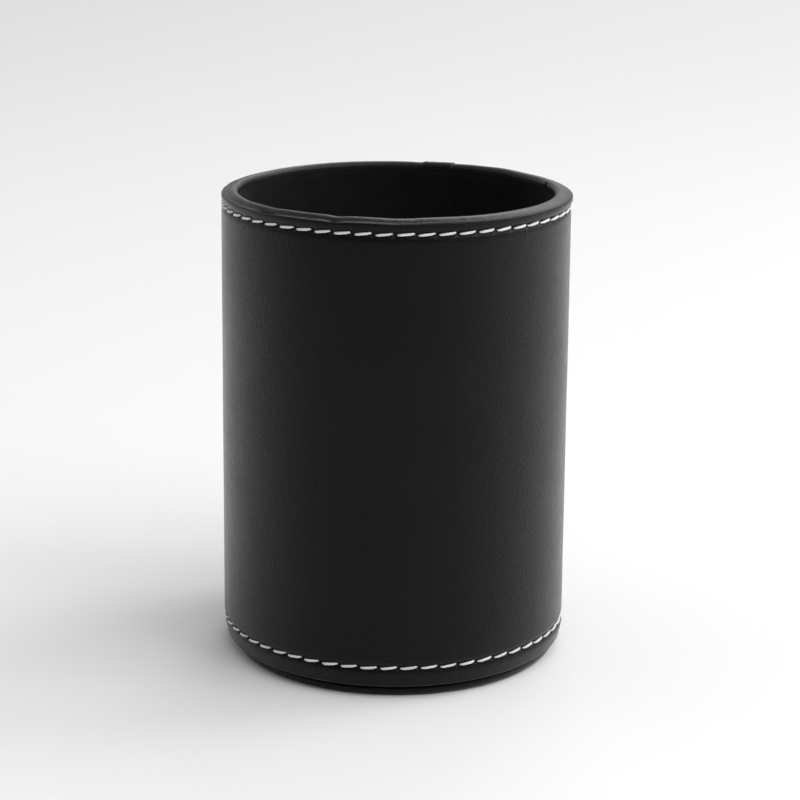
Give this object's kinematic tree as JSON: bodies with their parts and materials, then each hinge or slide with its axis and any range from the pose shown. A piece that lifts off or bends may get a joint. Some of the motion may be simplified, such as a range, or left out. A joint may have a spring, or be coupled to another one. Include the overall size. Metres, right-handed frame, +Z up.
{
  "type": "pencil cup",
  "caption": "Round pencil cup: a board tube covered in black leather-look material with two stitched rows, velvet lined, on a covered foot disc.",
  "frame": {"origin": "middle of the foot disc's underside, where the cup stands on the desk", "axes": "+Z up along the cup's axis; -Y is the front of the picture, with the leather's upright lap at the back and a little to +X"},
  "size_m": [0.081, 0.0812, 0.1083],
  "materials": {
    "leather": "satin",
    "thread": "satin",
    "board": "matte",
    "velvet": "matte"
  },
  "bodies": {
    "root": {"core_tube": "board", "base_board": "board", "outer_wrap": "leather", "rim_needle_thread": "thread", "rim_bobbin_thread": "thread", "base_needle_thread": "thread", "base_bobbin_thread": "thread", "lining_sleeve": "velvet", "floor_lining": "velvet", "foot_skin": "leather", "foot_card": "board"}
  },
  "joints": []
}
